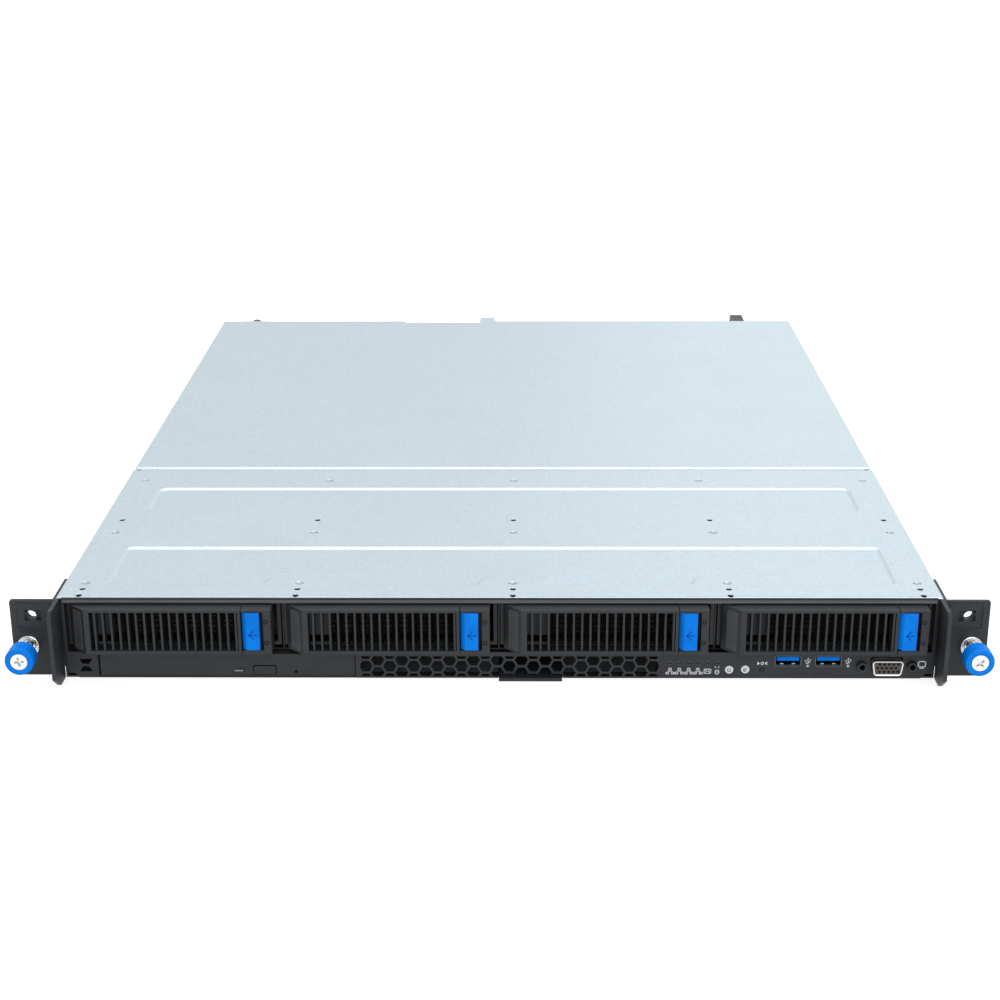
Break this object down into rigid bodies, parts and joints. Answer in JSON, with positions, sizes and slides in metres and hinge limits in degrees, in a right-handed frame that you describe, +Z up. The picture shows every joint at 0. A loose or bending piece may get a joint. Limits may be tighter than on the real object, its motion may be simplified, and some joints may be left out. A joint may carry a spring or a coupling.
{
  "type": "1u rack server",
  "caption": "One-unit rack server with hot-swap drive carriers, a slim optical drive, a honeycomb vent, rack ears with captive thumbscrews and a two-part top cover.",
  "frame": {"origin": "middle of the underside of the whole server, at the height of the chassis's bottom face", "axes": "+X to the right seen from the front, +Y from the front to the rear, +Z up"},
  "size_m": [0.4826, 0.6024, 0.0436],
  "materials": {
    "silver_sheet": "satin galvanised sheet steel with a fine grain",
    "black_paint": "satin black powder coat",
    "black_plastic": "fine-grained black plastic",
    "blue_plastic": "bright blue semi-gloss plastic",
    "bright_steel": "nickel-plated steel",
    "black_steel": "black oxide steel",
    "cast_aluminium": "cast and machined aluminium",
    "circuit_board": "solder-masked glass-epoxy board",
    "connector_black": "black moulded connector body",
    "white_plastic": "white moulded button"
  },
  "bodies": {
    "chassis": {"chassis_tray": "silver_sheet", "rear_panel": "silver_sheet", "rear_io_plate": "silver_sheet", "rear_ports": "bright_steel", "slot_bracket": "silver_sheet", "front_top_cover": "silver_sheet", "cover_screws": "bright_steel", "bay_shelf": "silver_sheet", "bay_dividers": "silver_sheet", "backplane_board": "circuit_board", "drive_connectors": "connector_black", "front_panel": "black_paint", "vent_grille": "black_paint", "io_bezel": "black_paint", "front_port_shells": "bright_steel", "front_usb_tongues": "blue_plastic", "front_io_board": "circuit_board", "optical_drive_body": "silver_sheet", "left_rack_ear": "black_paint", "right_rack_ear": "black_paint", "screw_ferrules": "bright_steel", "fan_frames": "black_plastic", "motherboard": "circuit_board", "heatsink": "cast_aluminium", "memory_slots": "connector_black", "memory_modules": "circuit_board"},
    "carrier_1": {"drive_carrier_1": "black_plastic", "hard_drive_1": "cast_aluminium"},
    "lever_1": {"drive_lever_1": "black_plastic"},
    "latch_1": {"drive_latch_1": "blue_plastic"},
    "carrier_2": {"drive_carrier_2": "black_plastic", "hard_drive_2": "cast_aluminium"},
    "lever_2": {"drive_lever_2": "black_plastic"},
    "latch_2": {"drive_latch_2": "blue_plastic"},
    "carrier_3": {"drive_carrier_3": "black_plastic", "hard_drive_3": "cast_aluminium"},
    "lever_3": {"drive_lever_3": "black_plastic"},
    "latch_3": {"drive_latch_3": "blue_plastic"},
    "carrier_4": {"drive_carrier_4": "black_plastic", "hard_drive_4": "cast_aluminium"},
    "lever_4": {"drive_lever_4": "black_plastic"},
    "latch_4": {"drive_latch_4": "blue_plastic"},
    "disc_tray": {"optical_tray": "black_plastic"},
    "eject_button": {"eject_button": "black_plastic"},
    "power_button": {"power_button": "white_plastic"},
    "identify_button": {"identify_button": "white_plastic"},
    "reset_button": {"reset_button": "black_plastic"},
    "asset_tag": {"asset_tag": "blue_plastic"},
    "left_thumb_screw": {"left_thumb_screw": "bright_steel"},
    "left_thumb_knob": {"left_thumb_knob": "blue_plastic"},
    "right_thumb_screw": {"right_thumb_screw": "bright_steel"},
    "right_thumb_knob": {"right_thumb_knob": "blue_plastic"},
    "rear_cover": {"rear_top_cover": "silver_sheet"},
    "cover_thumbscrew": {"cover_thumbscrew": "black_steel"},
    "fan_rotor_1": {"fan_rotor_1": "black_plastic"},
    "fan_rotor_2": {"fan_rotor_2": "black_plastic"},
    "fan_rotor_3": {"fan_rotor_3": "black_plastic"},
    "fan_rotor_4": {"fan_rotor_4": "black_plastic"},
    "power_supply": {"power_supply": "silver_sheet"},
    "power_supply_latch": {"power_supply_latch": "black_plastic"}
  },
  "joints": [
    {"name": "carrier_1_slide", "type": "slide", "parent": "chassis", "child": "carrier_1", "axis": [0, -1, 0], "range_m": [0, 0.15]},
    {"name": "lever_1_hinge", "type": "hinge", "parent": "carrier_1", "child": "lever_1", "pos_m": [-0.21105, -0.2766, 0.028], "axis": [0, 0, -1], "range_deg": [0, 60]},
    {"name": "latch_1_slide", "type": "slide", "parent": "carrier_1", "child": "latch_1", "axis": [1, 0, 0], "range_m": [0, 0.0015], "stiffness_N_per_m": 300, "springref_m": -0.002},
    {"name": "carrier_2_slide", "type": "slide", "parent": "chassis", "child": "carrier_2", "axis": [0, -1, 0], "range_m": [0, 0.15]},
    {"name": "lever_2_hinge", "type": "hinge", "parent": "carrier_2", "child": "lever_2", "pos_m": [-0.10355, -0.2766, 0.028], "axis": [0, 0, -1], "range_deg": [0, 60]},
    {"name": "latch_2_slide", "type": "slide", "parent": "carrier_2", "child": "latch_2", "axis": [1, 0, 0], "range_m": [0, 0.0015], "stiffness_N_per_m": 300, "springref_m": -0.002},
    {"name": "carrier_3_slide", "type": "slide", "parent": "chassis", "child": "carrier_3", "axis": [0, -1, 0], "range_m": [0, 0.15]},
    {"name": "lever_3_hinge", "type": "hinge", "parent": "carrier_3", "child": "lever_3", "pos_m": [0.00395, -0.2766, 0.028], "axis": [0, 0, -1], "range_deg": [0, 60]},
    {"name": "latch_3_slide", "type": "slide", "parent": "carrier_3", "child": "latch_3", "axis": [1, 0, 0], "range_m": [0, 0.0015], "stiffness_N_per_m": 300, "springref_m": -0.002},
    {"name": "carrier_4_slide", "type": "slide", "parent": "chassis", "child": "carrier_4", "axis": [0, -1, 0], "range_m": [0, 0.15]},
    {"name": "lever_4_hinge", "type": "hinge", "parent": "carrier_4", "child": "lever_4", "pos_m": [0.11145, -0.2766, 0.028], "axis": [0, 0, -1], "range_deg": [0, 60]},
    {"name": "latch_4_slide", "type": "slide", "parent": "carrier_4", "child": "latch_4", "axis": [1, 0, 0], "range_m": [0, 0.0015], "stiffness_N_per_m": 300, "springref_m": -0.002},
    {"name": "disc_tray_slide", "type": "slide", "parent": "chassis", "child": "disc_tray", "axis": [0, -1, 0], "range_m": [0, 0.12]},
    {"name": "eject_press", "type": "slide", "parent": "disc_tray", "child": "eject_button", "axis": [0, 1, 0], "range_m": [0, 0.0008], "stiffness_N_per_m": 300, "springref_m": -0.0015},
    {"name": "power_press", "type": "slide", "parent": "chassis", "child": "power_button", "axis": [0, 1, 0], "range_m": [0, 0.0008], "stiffness_N_per_m": 300, "springref_m": -0.0015},
    {"name": "identify_press", "type": "slide", "parent": "chassis", "child": "identify_button", "axis": [0, 1, 0], "range_m": [0, 0.0008], "stiffness_N_per_m": 300, "springref_m": -0.0015},
    {"name": "reset_press", "type": "slide", "parent": "chassis", "child": "reset_button", "axis": [0, 1, 0], "range_m": [0, 0.0008], "stiffness_N_per_m": 300, "springref_m": -0.0015},
    {"name": "asset_tag_slide", "type": "slide", "parent": "chassis", "child": "asset_tag", "axis": [0, -1, 0], "range_m": [0, 0.05]},
    {"name": "left_thumb_screw_travel", "type": "slide", "parent": "chassis", "child": "left_thumb_screw", "axis": [0, 1, 0], "range_m": [0, 0.006]},
    {"name": "left_thumb_knob_turn", "type": "hinge", "parent": "left_thumb_screw", "child": "left_thumb_knob", "pos_m": [-0.2332, -0.2968, 0.0195], "axis": [0, 1, 0], "continuous": true},
    {"name": "right_thumb_screw_travel", "type": "slide", "parent": "chassis", "child": "right_thumb_screw", "axis": [0, 1, 0], "range_m": [0, 0.006]},
    {"name": "right_thumb_knob_turn", "type": "hinge", "parent": "right_thumb_screw", "child": "right_thumb_knob", "pos_m": [0.2332, -0.2968, 0.0195], "axis": [0, 1, 0], "continuous": true},
    {"name": "rear_cover_lift", "type": "slide", "parent": "chassis", "child": "rear_cover", "axis": [0, 0, 1], "range_m": [0, 0.12]},
    {"name": "cover_thumbscrew_turn", "type": "hinge", "parent": "rear_cover", "child": "cover_thumbscrew", "pos_m": [-0.194, 0.2692, 0.038], "axis": [0, 1, 0], "continuous": true},
    {"name": "fan_1_spin", "type": "hinge", "parent": "chassis", "child": "fan_rotor_1", "pos_m": [-0.168, -0.0588, 0.021], "axis": [0, 1, 0], "continuous": true},
    {"name": "fan_2_spin", "type": "hinge", "parent": "chassis", "child": "fan_rotor_2", "pos_m": [-0.108, -0.0588, 0.021], "axis": [0, 1, 0], "continuous": true},
    {"name": "fan_3_spin", "type": "hinge", "parent": "chassis", "child": "fan_rotor_3", "pos_m": [-0.048, -0.0588, 0.021], "axis": [0, 1, 0], "continuous": true},
    {"name": "fan_4_spin", "type": "hinge", "parent": "chassis", "child": "fan_rotor_4", "pos_m": [0.012, -0.0588, 0.021], "axis": [0, 1, 0], "continuous": true},
    {"name": "power_supply_slide", "type": "slide", "parent": "chassis", "child": "power_supply", "axis": [0, 1, 0], "range_m": [0, 0.15]},
    {"name": "power_supply_latch_squeeze", "type": "slide", "parent": "power_supply", "child": "power_supply_latch", "axis": [1, 0, 0], "range_m": [0, 0.0018], "stiffness_N_per_m": 600, "springref_m": -0.003}
  ]
}
